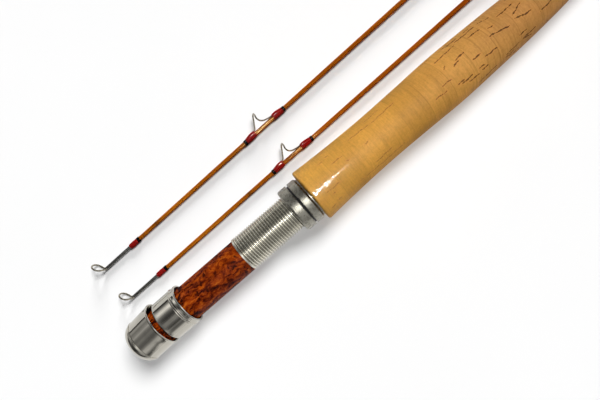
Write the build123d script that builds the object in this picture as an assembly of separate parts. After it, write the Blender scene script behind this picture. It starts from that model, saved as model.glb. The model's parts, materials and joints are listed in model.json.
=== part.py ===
from build123d import *
import math
import os

# Split-cane fly rod in two pieces, with a second tip section, laid out on a table.
# All sizes are millimetres and degrees.
#
# Each section is modelled along +X with its axis on X and its guides towards +Y.
# It is then rolled about its own axis and laid on the table.  The origin is the
# centre of the butt cap's end face.  The butt section rests on the heel of its
# grip and on the welt of its ferrule, so its axis drops slightly towards +X.

# ---- reel seat ---------------------------------------------------------------
SEAT_END = 103.2            # butt face to the heel of the grip
FILLER_R = 8.5              # burl wood filler
FILLER_START = 3.0
FILLER_SPIGOT_R = 7.5       # part of the filler inside the threaded barrel
MORTISE_FLOOR = 7.6         # flat for the reel foot, distance from the axis
CAP_R = 10.1
CAP_LENGTH = 15.5
CAP_CORNER_R = 4.5
CAP_MOUTH_R = 10.4
CAP_MOUTH_SHIFT = 0.7       # the mouth stands towards the reel foot
CAP_WALL = 0.7
CAP_SOCKET = 3.0            # depth of filler held in the cap's closed end
CAP_BEAD_X = 4.1
CAP_BEAD_HALF = 0.3
CAP_BEAD_RISE = 0.15
HOOD_START = 17.4
HOOD_END = 30.1
HOOD_R = 9.75
HOOD_BORE_R = 9.0
HOOD_BEAD_X = 27.3
HOOD_BEAD_HALF = 0.45
HOOD_BEAD_RISE = 0.25
HOOD_RIM = 0.7              # rolled rim at the mouth
BARREL_START = 63.1
BARREL_R = 8.65             # crest of the thread
BARREL_LEAD = 1.1           # plain ring before the thread
BARREL_LEAD_R = 8.55
NUT_R = 11.1
NUT_BORE_R = 8.70
NUT_ROUND = 1.2             # rims away from the ring between the nuts
NUT_INNER_ROUND = 0.35      # rims beside that ring
NUT_1 = (92.3, 97.25)
NUT_2 = (98.10, 102.9)
NUT_LIP = 0.5               # plain collar against the grip
NUT_LIP_R = 10.2
NUT_RING = (97.30, 98.05)
NUT_RING_R = 10.2

# ---- grip: distance from the heel, diameter ----------------------------------
GRIP_LENGTH = 178.0
GRIP_STATIONS = ((0, 26.7), (20, 24.65), (40, 23.8), (60, 24.35), (81, 25.15), (103, 24.0),
                 (121, 22.7), (139, 20.4), (160, 16.8), (178, 13.6))
CORK_RINGS = 14
CORK_CHAMFER = 0.5
CHECK_LENGTH = 3.2          # winding check at the front of the grip
CHECK_CLEAR = 0.02
CHECK_STEPS = ((0.0, 1.3), (1.2, 1.1), (3.2, 0.4))
CHECK_WRAP = 9.0            # silk in front of the check

# ---- cane: distance along the section, width across the flats ----------------
TENON_R = 4.15              # cane turned round inside seat and grip
TENON_START = 12.0
HEX_START = SEAT_END + GRIP_LENGTH
ROD_SECTION = 1155.0
BUTT_TAPER = ((HEX_START, 8.4), (700.0, 7.5), (1100.0, 6.1))
TIP_TAPER = ((17.5, 1.64), (180.0, 1.95), (1096.0, 5.1))

# ---- ferrule, 14/64 inch -----------------------------------------------------
FERRULE_START = BUTT_TAPER[-1][0]
FERRULE_BORE_R = 2.78
FERRULE_SLIDE_R = 2.76
FERRULE_R = 3.5
FERRULE_WELT_R = 3.9
FERRULE_WELT = 3.0
FERRULE_DEPTH = 25.0
FERRULE_SOCKET_R = 2.85     # cane well
FERRULE_STOP = 4.0          # solid metal between the bore and the cane well
FERRULE_LEAD = (6.0, 0.35)  # tapered lead-in: length and step
FERRULE_WRAP = 16.0
MALE_SOCKET_R = 2.3
MALE_R = 2.95
MALE_LEAD = (5.0, 0.3)
MALE_STOP = 1.0
MALE_NOSE = 0.5             # bevel at the end of the slide
MALE_WRAP = 14.0
MALE_START = TIP_TAPER[-1][0]
MALE_END = 1146.0

# ---- tiptop ------------------------------------------------------------------
TUBE_R = 0.78
TUBE_BORE_R = 0.6
TUBE_LENGTH = 17.5
TUBE_NOSE = 2.5             # solid nose that the loop is soldered into
LOOP_LENGTH = 6.3
LOOP_HALF_WIDTH = 2.35
LOOP_BEND = 63.0            # loop leans from the tube towards the guides
LOOP_WIRE_R = 0.4
LOOP_LEG = (0.8, 0.45)      # leg's end inside the nose, and half the legs' spacing
# half of the pear: share of the loop's length, share of its half width
LOOP_SHAPE = ((0.06, 0.24), (0.32, 0.70), (0.62, 1.0), (0.88, 0.72))
TIPTOP_WRAP = (16.0, 20.7)

# ---- guides ------------------------------------------------------------------
WIRE_R = 0.4
GAP_HALF = 5.65             # half the bare cane between the two foot wraps
WRAP_LENGTH = 5.8
TIPPING_LENGTH = 1.2
SILK = 0.2                  # thickness of silk and its varnish
SILK_END = 0.05             # a foot wrap's rise over the thin end of the foot
FOOT_WIDTH = 1.1
FOOT_THICK = 0.62
FOOT_TIP = 0.25             # thickness at the foot's end as a share
FOOT_TUCK = 0.4             # how far the foot reaches into the gap between the wraps
# wire of a small snake guide: along the rod, across it, height over the cane's flat
SNAKE_PATH = ((-5.65, 0.0, 0.44), (-3.1, -1.5, 2.95), (-0.75, -2.9, 5.95), (-0.35, 0.0, 6.9),
              (-0.75, 2.75, 5.6), (0.4, 2.3, 3.35), (3.0, 1.0, 1.45), (5.65, 0.0, 0.44))
TIP_GUIDES = (102.8, 236.0, 374.0, 520.0, 675.0, 840.0, 1015.0)
TIP_GUIDE_SIZES = (1.0, 1.0, 1.02, 1.04, 1.08, 1.12, 1.16)
BUTT_GUIDES = (1062.0, 846.0)
BUTT_GUIDE_SIZES = (1.2, 1.25)
STRIPPER_X = 646.0
STRIPPER_HEIGHT = 10.2
STRIPPER_R = 5.5
STRIPPER_SEAT_R = 4.6
STRIPPER_BORE_R = 3.6
STRIPPER_WIDTH = 2.0
STRIPPER_GAP = 9.0
STRIPPER_WRAP = 12.8
STRUT_R = 0.45
STRUTS = ((1, (-25, 205)), (-1, (270,)))    # side of the ring, angles where struts meet it
STRUT_FOOT_THICK = 0.8
KEEPER_X = 318.0
KEEPER_GAP = 4.0
KEEPER_WRAP = 6.0
KEEPER_WIRE_R = 0.4
# bridge of the keeper: along the rod, height over the cane's flat
KEEPER_PATH = ((-4.0, 0.42), (-2.6, 2.2), (0.0, 3.4), (2.6, 2.2), (4.0, 0.42))

# ---- how the sections lie on the table ---------------------------------------
BUTT_ROLL = -4.0
TIP_ROLL = 38.0
TIP_X = (7.0, 6.1)
TIP_Y = (19.1, 37.9)
TIP_YAW = (0.73, 1.15)      # the tips fan out slightly from the butt section
TIP_REST_X = 91.0           # a tip rests on the silk of its first guide and on its ferrule
TIP_REST_R = 1.2
HEEL_X = SEAT_END + CORK_CHAMFER
HEEL_R = GRIP_STATIONS[0][1] / 2
BUTT_DROP = math.degrees(math.asin((HEEL_R - FERRULE_WELT_R) / (ROD_SECTION - HEEL_X)))
TABLE_Z = -HEEL_X * math.sin(math.radians(BUTT_DROP)) - HEEL_R * math.cos(math.radians(BUTT_DROP))
TIP_RISE = math.degrees(math.asin((MALE_R - TIP_REST_R) / (MALE_START + MALE_LEAD[0] - TIP_REST_X)))


# ---- shared operations -------------------------------------------------------
def across(x):
    """Plane square to the rod at x: local x is -Z and local y is +Y, the guides' side."""
    return Plane(origin=(x, 0, 0), x_dir=(0, 0, -1), z_dir=(1, 0, 0))


def turned(*points):
    """Solid of revolution about X from its (x, radius) outline."""
    return revolve(make_face(Polyline(*points, close=True)), Axis.X, 360)


def tube(x0, x1, inner, outer):
    return turned((x0, inner), (x1, inner), (x1, outer), (x0, outer))


def rod(x0, x1, radius):
    return turned((x0, 0), (x1, 0), (x1, radius), (x0, radius))


def round_rims(solid, rim_radius, fillet_radius, low=-math.inf, high=math.inf):
    """Fillets the circular edges of the given radius that lie between low and high along X."""
    rims = [e for e in solid.edges().filter_by(GeomType.CIRCLE)
            if abs(e.radius - rim_radius) < 1e-3 and low < e.center().X < high]
    return fillet(rims, fillet_radius)


def smooth(stations, x):
    """Value at x on a smooth curve through (x, value) stations."""
    last = len(stations) - 2
    i = next((k for k in range(last) if x <= stations[k + 1][0]), last)
    (xa, a), (xb, b) = stations[i], stations[i + 1]
    before, after = stations[max(i - 1, 0)], stations[min(i + 2, last + 1)]
    slope_a = (b - before[1]) / (xb - before[0])
    slope_b = (after[1] - a) / (after[0] - xa)
    span = xb - xa
    t = (x - xa) / span
    return ((2 * t**3 - 3 * t**2 + 1) * a + (t**3 - 2 * t**2 + t) * span * slope_a
            + (3 * t**2 - 2 * t**3) * b + (t**3 - t**2) * span * slope_b)


def straight(stations, x):
    """Value at x on straight lines through (x, value) stations."""
    last = len(stations) - 2
    i = next((k for k in range(last) if x <= stations[k + 1][0]), last)
    (xa, a), (xb, b) = stations[i], stations[i + 1]
    return a + (b - a) * (x - xa) / (xb - xa)


def hexagon(x, flats, lift=0.0):
    """Hexagon at x of the given width across flats; its +Y flat stands out by lift."""
    corner = flats / math.sqrt(3)
    points = []
    for k in range(6):
        a = math.radians(60 * k)
        raised = lift if k in (1, 2) else 0.0
        points.append((corner * math.cos(a), corner * math.sin(a) + raised))
    return across(x) * make_face(Polyline(*points, close=True))


def hex_bar(taper, x0, x1, extra=0.0, lift_0=0.0, lift_1=0.0):
    """Six-sided bar between x0 and x1 on a taper, thicker all round by extra."""
    ends = sorted([(x0, lift_0), (x1, lift_1)])
    return loft([hexagon(x, straight(taper, x) + 2 * extra, lift) for x, lift in ends], ruled=True)


def wire(points, radius):
    """Eight-sided wire swept along a smooth curve through the points."""
    path = Spline(*points)
    return sweep(Plane(origin=path @ 0, z_dir=path % 0) * RegularPolygon(radius, 8), path=path)


# ---- reel seat pieces --------------------------------------------------------
def butt_cap():
    """Spun cap: rounded butt, turned bead, and a mouth flared to take the reel foot."""
    shoulder = CAP_CORNER_R
    arc = RadiusArc((0, CAP_R - CAP_CORNER_R), (shoulder, CAP_R), CAP_CORNER_R)
    sides = Polyline((shoulder, CAP_R), (shoulder, 0), (0, 0), (0, CAP_R - CAP_CORNER_R))
    end = revolve(make_face([arc, sides]), Axis.X, 360)
    mouth = across(CAP_LENGTH) * Pos(0, CAP_MOUTH_SHIFT) * Circle(CAP_MOUTH_R)
    skirt = loft([across(shoulder) * Circle(CAP_R), mouth])
    bead_start, bead_end = CAP_BEAD_X - CAP_BEAD_HALF, CAP_BEAD_X + CAP_BEAD_HALF
    bead = tube(bead_start, bead_end, FILLER_R + 0.5, CAP_R + CAP_BEAD_RISE)
    socket_end = FILLER_START + CAP_SOCKET
    socket = rod(FILLER_START, socket_end, FILLER_R)
    hollow_mouth = across(CAP_LENGTH) * Pos(0, CAP_MOUTH_SHIFT) * Circle(CAP_MOUTH_R - CAP_WALL)
    hollow = loft([across(socket_end) * Circle(FILLER_R), hollow_mouth])
    return end + skirt + bead - socket - hollow


def reel_seat_filler():
    """Burl spacer with a flat mortise for the reel foot and a spigot for the barrel."""
    body = rod(FILLER_START, BARREL_START, FILLER_R) + rod(BARREL_START, SEAT_END, FILLER_SPIGOT_R)
    mortise_length = BARREL_START - FILLER_START
    mortise = Pos(FILLER_START + mortise_length / 2, MORTISE_FLOOR + 5, 0) * Box(mortise_length, 10, 30)
    return body - mortise - rod(TENON_START, SEAT_END, TENON_R)


def threaded_barrel():
    """Nickel silver tube; the crest of its thread is its outside."""
    lead = tube(BARREL_START, BARREL_START + BARREL_LEAD, FILLER_SPIGOT_R, BARREL_LEAD_R)
    return lead + tube(BARREL_START + BARREL_LEAD, SEAT_END, FILLER_SPIGOT_R, BARREL_R)


def sliding_hood():
    """Band that slides over filler and thread and traps the reel foot."""
    rim_start = HOOD_END - HOOD_RIM
    return turned(
        (HOOD_START, HOOD_BORE_R + 0.3), (HOOD_START + 1.5, HOOD_BORE_R), (HOOD_END, HOOD_BORE_R),
        (HOOD_END, HOOD_R + 0.1), (rim_start, HOOD_R + 0.1), (rim_start, HOOD_R - 0.1),
        (HOOD_BEAD_X + HOOD_BEAD_HALF, HOOD_R - 0.05), (HOOD_BEAD_X, HOOD_R + HOOD_BEAD_RISE),
        (HOOD_BEAD_X - HOOD_BEAD_HALF, HOOD_R), (HOOD_START + 0.5, HOOD_R), (HOOD_START, HOOD_R - 0.2))


def lock_nut(span, lip, rounds):
    """Ring nut; rounds are its two rims, lip the length of a plain collar on its grip side."""
    x0, x1 = span
    band_end = x1 - lip
    middle = (x0 + x1) / 2
    nut = tube(x0, band_end, NUT_BORE_R, NUT_R)
    nut = round_rims(nut, NUT_R, rounds[0], high=middle)
    nut = round_rims(nut, NUT_R, rounds[1], low=middle)
    if lip:
        nut += tube(band_end, x1, NUT_BORE_R, NUT_LIP_R)
    return nut


# ---- grip --------------------------------------------------------------------
def grip_radius(x):
    return smooth(GRIP_STATIONS, x - SEAT_END) / 2


def cork_ring(index):
    """One cork ring of the grip, its outside an arc of the grip's outline."""
    length = GRIP_LENGTH / CORK_RINGS
    x0 = SEAT_END + index * length
    x1 = x0 + length
    bore = TENON_R
    first = index == 0
    start = (x0 + CORK_CHAMFER, HEEL_R) if first else (x0, grip_radius(x0))
    middle = (start[0] + x1) / 2
    outside = ThreePointArc(start, (middle, grip_radius(middle)), (x1, grip_radius(x1)))
    corners = [(x1, grip_radius(x1)), (x1, bore), (x0, bore)]
    if first:
        corners.append((x0, HEEL_R - CORK_CHAMFER))
    corners.append(start)
    return revolve(make_face([outside, Polyline(*corners)]), Axis.X, 360)


def winding_check():
    """Turned ring that closes the front of the grip round the cane."""
    x0 = SEAT_END + GRIP_LENGTH
    bore = BUTT_TAPER[0][1] / math.sqrt(3) + CHECK_CLEAR
    outside = [(x0 + along, bore + rise) for along, rise in CHECK_STEPS]
    return turned((x0 + CHECK_LENGTH, bore), (x0, bore), *outside)


# ---- cane --------------------------------------------------------------------
def tapered_cane(taper):
    """Six-sided cane on straight lines between the taper's stations."""
    bars = [hex_bar(taper, a[0], b[0]) for a, b in zip(taper, taper[1:])]
    return bars[0] + bars[1]


def butt_cane():
    end = BUTT_TAPER[-1][0]
    socket_floor = ROD_SECTION - FERRULE_DEPTH - FERRULE_STOP
    cane = tapered_cane(BUTT_TAPER) + rod(TENON_START, HEX_START, TENON_R)
    return cane + rod(end, socket_floor, FERRULE_SOCKET_R)


def tip_cane():
    start, end = TIP_TAPER[0][0], TIP_TAPER[-1][0]
    socket_floor = MALE_END - FERRULE_DEPTH - MALE_STOP
    cane = tapered_cane(TIP_TAPER) + rod(TUBE_NOSE, start, TUBE_BORE_R)
    return cane + rod(end, socket_floor, MALE_SOCKET_R)


# ---- ferrules ----------------------------------------------------------------
def female_ferrule():
    """Socket half: cane well, water stop, bore and a welt at the mouth."""
    stop = ROD_SECTION - FERRULE_DEPTH
    well = stop - FERRULE_STOP
    lead, step = FERRULE_LEAD
    outside = turned(
        (FERRULE_START, 0), (FERRULE_START, FERRULE_R - step), (FERRULE_START + lead, FERRULE_R),
        (ROD_SECTION - FERRULE_WELT, FERRULE_R), (ROD_SECTION - FERRULE_WELT, FERRULE_WELT_R),
        (ROD_SECTION, FERRULE_WELT_R), (ROD_SECTION, 0))
    return outside - rod(FERRULE_START, well, FERRULE_SOCKET_R) - rod(stop, ROD_SECTION, FERRULE_BORE_R)


def male_ferrule():
    """Plug half: cane well, shoulder and the ground slide."""
    shoulder = MALE_END - FERRULE_DEPTH
    lead, step = MALE_LEAD
    outside = turned(
        (MALE_START, 0), (MALE_START, MALE_R - step), (MALE_START + lead, MALE_R), (shoulder, MALE_R),
        (shoulder, FERRULE_SLIDE_R), (MALE_END - MALE_NOSE, FERRULE_SLIDE_R),
        (MALE_END, FERRULE_SLIDE_R - MALE_NOSE), (MALE_END, 0))
    return outside - rod(MALE_START, shoulder - MALE_STOP, MALE_SOCKET_R)


# ---- guides ------------------------------------------------------------------
def foot(taper, x_ring, x_end, thick):
    """Flat ground foot lying on the cane's +Y flat, thin at its far end."""
    def section(x, width, height):
        flat = straight(taper, x) / 2
        return across(x) * Pos(0, flat + height / 2) * Rectangle(width, height)
    ends = [section(x_ring, FOOT_WIDTH * 0.75, thick), section(x_end, FOOT_WIDTH, thick * FOOT_TIP)]
    return loft(ends if x_ring < x_end else ends[::-1], ruled=True)


def snake_guide(taper, x, size):
    """One wire: a ground foot, a full turn over the cane, and the other foot."""
    flat = straight(taper, x) / 2
    points = [(x + a * size, flat + up * size, across_rod * size) for a, across_rod, up in SNAKE_PATH]
    ring = wire(points, WIRE_R)
    reach = (GAP_HALF + WRAP_LENGTH - 0.6) * size
    gap = (GAP_HALF - FOOT_TUCK) * size
    feet = [foot(taper, x + side * gap, x + side * reach, FOOT_THICK) for side in (-1, 1)]
    return ring + feet[0] + feet[1]


def tiptop_tube():
    """Slip-on tube over the thin end of the cane."""
    return rod(0, TUBE_LENGTH, TUBE_R) - rod(TUBE_NOSE, TUBE_LENGTH, TUBE_BORE_R)


def tiptop_loop():
    """Pear-shaped wire loop whose legs are soldered into the nose of the tube."""
    bend = math.radians(LOOP_BEND)

    def at(along, side):
        reach = along * LOOP_LENGTH
        return (-reach * math.cos(bend), reach * math.sin(bend), side * LOOP_HALF_WIDTH)

    leg_end, leg_side = LOOP_LEG
    half = [(leg_end, 0.0, leg_side)] + [at(along, side) for along, side in LOOP_SHAPE]
    other = [(x, y, -z) for x, y, z in reversed(half)]
    return wire(half + [at(1.0, 0.0)] + other, LOOP_WIRE_R)


def stripping_guide_frame():
    """Bezel ring carried by a pair of struts in front and one strut behind."""
    at_ring = Pos(STRIPPER_X, STRIPPER_HEIGHT, 0)
    half = STRIPPER_WIDTH / 2
    frame = at_ring * tube(-half, half, STRIPPER_SEAT_R, STRIPPER_R)
    flat = straight(BUTT_TAPER, STRIPPER_X) / 2
    mid_r = (STRIPPER_R + STRIPPER_SEAT_R) / 2
    for side, angles in STRUTS:
        root = (STRIPPER_X + side * STRIPPER_GAP, flat + STRUT_R + 0.02, 0)
        for angle in angles:
            a = math.radians(angle)
            top = (STRIPPER_X, STRIPPER_HEIGHT + mid_r * math.sin(a), mid_r * math.cos(a))
            path = Line(root, top)
            frame += sweep(Plane(origin=root, z_dir=path % 0) * RegularPolygon(STRUT_R, 8), path=path)
        near, far = STRIPPER_GAP - 0.6, STRIPPER_GAP + STRIPPER_WRAP - 0.8
        frame += foot(BUTT_TAPER, STRIPPER_X + side * near, STRIPPER_X + side * far, STRUT_FOOT_THICK)
    return frame - at_ring * rod(-half - 1, half + 1, STRIPPER_SEAT_R)


def stripping_guide_ring():
    """Polished agate ring set in the bezel."""
    half = STRIPPER_WIDTH / 2 + 0.2
    ring = tube(-half, half, STRIPPER_BORE_R, STRIPPER_SEAT_R)
    return Pos(STRIPPER_X, STRIPPER_HEIGHT, 0) * round_rims(ring, STRIPPER_BORE_R, 0.4)


def hook_keeper():
    """Small wire bridge on the cane in front of the grip."""
    flat = straight(BUTT_TAPER, KEEPER_X) / 2
    keeper = wire([(KEEPER_X + along, flat + height, 0) for along, height in KEEPER_PATH], KEEPER_WIRE_R)
    near, far = KEEPER_GAP - FOOT_TUCK, KEEPER_GAP + KEEPER_WRAP - 1
    for side in (-1, 1):
        keeper += foot(BUTT_TAPER, KEEPER_X + side * near, KEEPER_X + side * far, FOOT_THICK)
    return keeper


# ---- silk --------------------------------------------------------------------
def foot_wraps(taper, x, gap, length, guide):
    """Two varnished silk wraps that bind a guide's feet to the cane."""
    wraps = []
    for side in (-1, 1):
        near, far = x + side * gap, x + side * (gap + length)
        cover = hex_bar(taper, near, far, SILK, FOOT_THICK, SILK_END)
        sleeve = cover - hex_bar(taper, near - side, far + side) - guide
        wraps.append(sleeve.solids().sort_by(SortBy.VOLUME)[-1])
    return wraps


def band(taper, x0, x1):
    """Plain silk band round bare cane."""
    return hex_bar(taper, x0, x1, SILK) - hex_bar(taper, x0 - 1, x1 + 1)


def tipping(taper, x, reach):
    """Narrow bands at the far ends of a guide's two wraps."""
    far = reach + TIPPING_LENGTH
    return [band(taper, x - far, x - reach), band(taper, x + reach, x + far)]


def guide_silk(taper, places):
    """Wraps and tipping bands of guides given as (x, gap, wrap length, guide)."""
    wraps, bands = [], []
    for x, gap, length, guide in places:
        wraps += foot_wraps(taper, x, gap, length, guide)
        bands += tipping(taper, x, gap + length)
    return wraps, bands


def tiptop_wrap():
    """Silk over the end of the tiptop tube and the cane beside it."""
    start, end = TIPTOP_WRAP
    on_cane = hex_bar(TIP_TAPER, TUBE_LENGTH, end, SILK) - hex_bar(TIP_TAPER, TUBE_LENGTH, end + 1)
    return tube(start, TUBE_LENGTH, TUBE_R, TUBE_R + SILK) + on_cane


# ---- laying the sections down ------------------------------------------------
def lay_butt(solid):
    return Rot(Y=BUTT_DROP) * (Rot(X=BUTT_ROLL) * solid)


def lay_tip(solid, index):
    height = TABLE_Z + TIP_REST_R - TIP_REST_X * math.sin(math.radians(TIP_RISE))
    start = Pos(TIP_X[index], TIP_Y[index], height)
    return start * (Rot(Z=TIP_YAW[index]) * (Rot(Y=-TIP_RISE) * (Rot(X=TIP_ROLL) * solid)))


# ---- the rod's pieces --------------------------------------------------------
def butt_section():
    """Pieces of the butt section by name, before it is laid down."""
    pieces = {
        "butt_cap": butt_cap(),
        "reel_seat_filler": reel_seat_filler(),
        "threaded_barrel": threaded_barrel(),
        "sliding_hood": sliding_hood(),
        "lock_nut_lower": lock_nut(NUT_1, 0, (NUT_ROUND, NUT_INNER_ROUND)),
        "nut_ring": tube(*NUT_RING, NUT_BORE_R, NUT_RING_R),
        "lock_nut_upper": lock_nut(NUT_2, NUT_LIP, (NUT_INNER_ROUND, NUT_ROUND)),
        "winding_check": winding_check(),
        "butt_cane": butt_cane(),
        "female_ferrule": female_ferrule(),
        "hook_keeper": hook_keeper(),
        "stripping_guide_frame": stripping_guide_frame(),
        "stripping_guide_ring": stripping_guide_ring(),
    }
    for index in range(CORK_RINGS):
        pieces[f"cork_ring_{index + 1:02d}"] = cork_ring(index)
    places = [(KEEPER_X, KEEPER_GAP, KEEPER_WRAP, pieces["hook_keeper"]),
              (STRIPPER_X, STRIPPER_GAP, STRIPPER_WRAP, pieces["stripping_guide_frame"])]
    for number, (x, size) in enumerate(zip(BUTT_GUIDES, BUTT_GUIDE_SIZES), 1):
        guide = snake_guide(BUTT_TAPER, x, size)
        pieces[f"butt_snake_guide_{number}"] = guide
        places.append((x, GAP_HALF * size, WRAP_LENGTH * size, guide))
    wraps, bands = guide_silk(BUTT_TAPER, places)
    check_end = SEAT_END + GRIP_LENGTH + CHECK_LENGTH
    check_silk_end, ferrule_silk_start = check_end + CHECK_WRAP, FERRULE_START - FERRULE_WRAP
    wraps += [band(BUTT_TAPER, check_end, check_silk_end),
              band(BUTT_TAPER, ferrule_silk_start, FERRULE_START)]
    bands += [band(BUTT_TAPER, check_silk_end, check_silk_end + TIPPING_LENGTH),
              band(BUTT_TAPER, ferrule_silk_start - TIPPING_LENGTH, ferrule_silk_start)]
    pieces["butt_silk_wraps"] = Compound([part_solid(w) for w in wraps])
    pieces["butt_tipping"] = Compound([part_solid(b) for b in bands])
    return pieces


def tip_section():
    """Pieces of one tip section by name, before it is laid down."""
    loop = tiptop_loop()
    pieces = {
        "tip_cane": tip_cane(),
        "tiptop_tube": tiptop_tube() - loop,
        "tiptop_loop": loop,
        "male_ferrule": male_ferrule(),
    }
    places = []
    for number, (x, size) in enumerate(zip(TIP_GUIDES, TIP_GUIDE_SIZES), 1):
        guide = snake_guide(TIP_TAPER, x, size)
        pieces[f"snake_guide_{number}"] = guide
        places.append((x, GAP_HALF * size, WRAP_LENGTH * size, guide))
    wraps, bands = guide_silk(TIP_TAPER, places)
    ferrule_silk_start = MALE_START - MALE_WRAP
    wraps += [tiptop_wrap(), band(TIP_TAPER, ferrule_silk_start, MALE_START)]
    bands += [band(TIP_TAPER, TIPTOP_WRAP[1], TIPTOP_WRAP[1] + TIPPING_LENGTH),
              band(TIP_TAPER, ferrule_silk_start - TIPPING_LENGTH, ferrule_silk_start)]
    pieces["silk_wraps"] = Compound([part_solid(w) for w in wraps])
    pieces["tipping"] = Compound([part_solid(b) for b in bands])
    return pieces


def part_solid(shape):
    """The single solid inside a one-piece shape."""
    return shape.solids().sort_by(SortBy.VOLUME)[-1]


os.makedirs("parts", exist_ok=True)
for name, shape in butt_section().items():
    export_step(lay_butt(shape), f"parts/{name}.step")
for name, shape in tip_section().items():
    for index, letter in enumerate("ab"):
        export_step(lay_tip(shape, index), f"parts/{name}_{letter}.step")
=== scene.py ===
import json
import math

import bpy
from mathutils import Matrix, Vector


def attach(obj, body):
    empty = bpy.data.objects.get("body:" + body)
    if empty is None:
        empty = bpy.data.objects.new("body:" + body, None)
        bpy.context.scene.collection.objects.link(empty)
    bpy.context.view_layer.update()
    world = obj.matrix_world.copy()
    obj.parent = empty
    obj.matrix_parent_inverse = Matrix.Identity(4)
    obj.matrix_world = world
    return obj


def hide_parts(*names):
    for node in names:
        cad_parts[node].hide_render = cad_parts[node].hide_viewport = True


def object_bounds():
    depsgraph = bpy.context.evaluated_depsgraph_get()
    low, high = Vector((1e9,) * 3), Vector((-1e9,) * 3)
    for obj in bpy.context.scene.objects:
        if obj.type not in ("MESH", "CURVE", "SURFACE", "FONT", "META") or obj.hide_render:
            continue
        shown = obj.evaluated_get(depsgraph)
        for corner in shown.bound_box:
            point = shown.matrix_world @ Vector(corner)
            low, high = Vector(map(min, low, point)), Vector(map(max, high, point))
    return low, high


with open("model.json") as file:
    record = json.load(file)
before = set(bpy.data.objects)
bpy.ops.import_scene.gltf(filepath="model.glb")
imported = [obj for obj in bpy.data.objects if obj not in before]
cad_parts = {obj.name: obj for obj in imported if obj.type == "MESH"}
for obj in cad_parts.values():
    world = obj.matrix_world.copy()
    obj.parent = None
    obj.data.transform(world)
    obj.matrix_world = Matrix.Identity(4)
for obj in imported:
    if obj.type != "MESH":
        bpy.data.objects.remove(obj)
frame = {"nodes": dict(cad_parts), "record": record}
cad_box = [list(corner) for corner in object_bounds()]

# ---- The table, the light and the camera ------------------------------------------------------
# The sections lie on a plain white table.  A soft key light and a dome of fill hang over them, a low
# light skims past the thin tips for their soft shadows, a small lamp beside the lens puts the gloss
# on varnish, and white and dark cards all round show in the polished metal.

MM = 0.001
bpy.ops.mesh.primitive_grid_add(x_subdivisions=8, y_subdivisions=8, size=1.0)
table = bpy.context.object
table.name = "table_top"
table.scale = (3.2, 1.7, 1)
table.location = (0.55, 0.0, cad_box[0][2] - 0.00002)
bpy.ops.object.transform_apply(location=True, rotation=True, scale=True)


def new_material(name):
    """A node material with only its output, and that output's tree."""
    made = bpy.data.materials.new(name)
    made.use_nodes = True
    made.node_tree.nodes.clear()
    return made, made.node_tree


def add_node(tree, kind, values=(), **settings):
    """Adds a node; values are constants or sockets for its first inputs, in their order."""
    made = tree.nodes.new(kind)
    for key, value in settings.items():
        setattr(made, key, value)
    for socket, value in zip(made.inputs, values):
        if isinstance(value, bpy.types.NodeSocket):
            tree.links.new(value, socket)
        elif value is not None:
            socket.default_value = value
    return made


def arithmetic(tree, operation, *values, clamp=False):
    return add_node(tree, "ShaderNodeMath", values, operation=operation, use_clamp=clamp).outputs[0]


def blend_colour(tree, share, first, second, mode="MIX"):
    """Mixes two colours; share is a socket or a number."""
    made = tree.nodes.new("ShaderNodeMix")
    made.data_type = "RGBA"
    made.blend_type = mode
    for name, value in (("Factor_Float", share), ("A_Color", first), ("B_Color", second)):
        socket = next(s for s in made.inputs if s.identifier == name)
        if isinstance(value, bpy.types.NodeSocket):
            tree.links.new(value, socket)
        else:
            socket.default_value = value
    return next(s for s in made.outputs if s.identifier == "Result_Color")


def ramp(tree, value, stops):
    """A colour ramp from (position, grey or colour) stops."""
    made = add_node(tree, "ShaderNodeValToRGB", (value,))
    elements = made.color_ramp.elements
    while len(elements) < len(stops):
        elements.new(0.5)
    for element, (position, colour) in zip(elements, stops):
        element.position = position
        element.color = (*colour, 1) if isinstance(colour, tuple) else (colour, colour, colour, 1)
    return made.outputs[0]


def glossy_finish(tree, colour, normal=None, **values):
    """The Principled shader that ends a material; values are its own sockets by name."""
    shader = tree.nodes.new("ShaderNodeBsdfPrincipled")
    named = {"Base Color": colour, **{key.replace("_", " "): value for key, value in values.items()}}
    if normal is not None:
        named["Normal"] = normal
    for name, value in named.items():
        if isinstance(value, bpy.types.NodeSocket):
            tree.links.new(value, shader.inputs[name])
        else:
            shader.inputs[name].default_value = value
    output = tree.nodes.new("ShaderNodeOutputMaterial")
    tree.links.new(shader.outputs[0], output.inputs[0])
    return shader


paper, tree = new_material("white_table")
place = add_node(tree, "ShaderNodeTexCoord").outputs["Object"]
mottle = add_node(tree, "ShaderNodeTexNoise", (place, None, 9.0, 3.0)).outputs[0]
glossy_finish(tree, ramp(tree, mottle, ((0.3, 0.83), (0.7, 0.84))), Roughness=0.9, Specular_IOR_Level=0.1)
table.data.materials.append(paper)

# Pale walls far round the table, seen only by the camera: they glow with painted light, brighter low down and dimmer
# higher up, and light nothing.
bpy.ops.mesh.primitive_uv_sphere_add(segments=64, ring_count=32, radius=9.0, location=(0.55, 0.0, 0.0))
walls = bpy.context.object
walls.name = "studio_walls"
bpy.ops.object.shade_smooth()
walls.visible_diffuse = walls.visible_glossy = walls.visible_shadow = False
walls.visible_transmission = walls.visible_volume_scatter = False
pale, tree = new_material("glowing_walls")
high = add_node(tree, "ShaderNodeSeparateXYZ", (add_node(tree, "ShaderNodeTexCoord").outputs["Object"],)).outputs[2]
rising = arithmetic(tree, "MULTIPLY_ADD", high, 1 / 18.0, 0.5)
glossy_finish(tree, (0.0, 0.0, 0.0, 1.0), Roughness=1.0, Specular_IOR_Level=0.0, Emission_Strength=1.0,
              Emission_Color=ramp(tree, rising, ((0.46, (0.80, 0.80, 0.80)), (0.62, (0.62, 0.62, 0.63)))))
pale.cycles.emission_sampling = "NONE"
walls.data.materials.append(pale)

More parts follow.
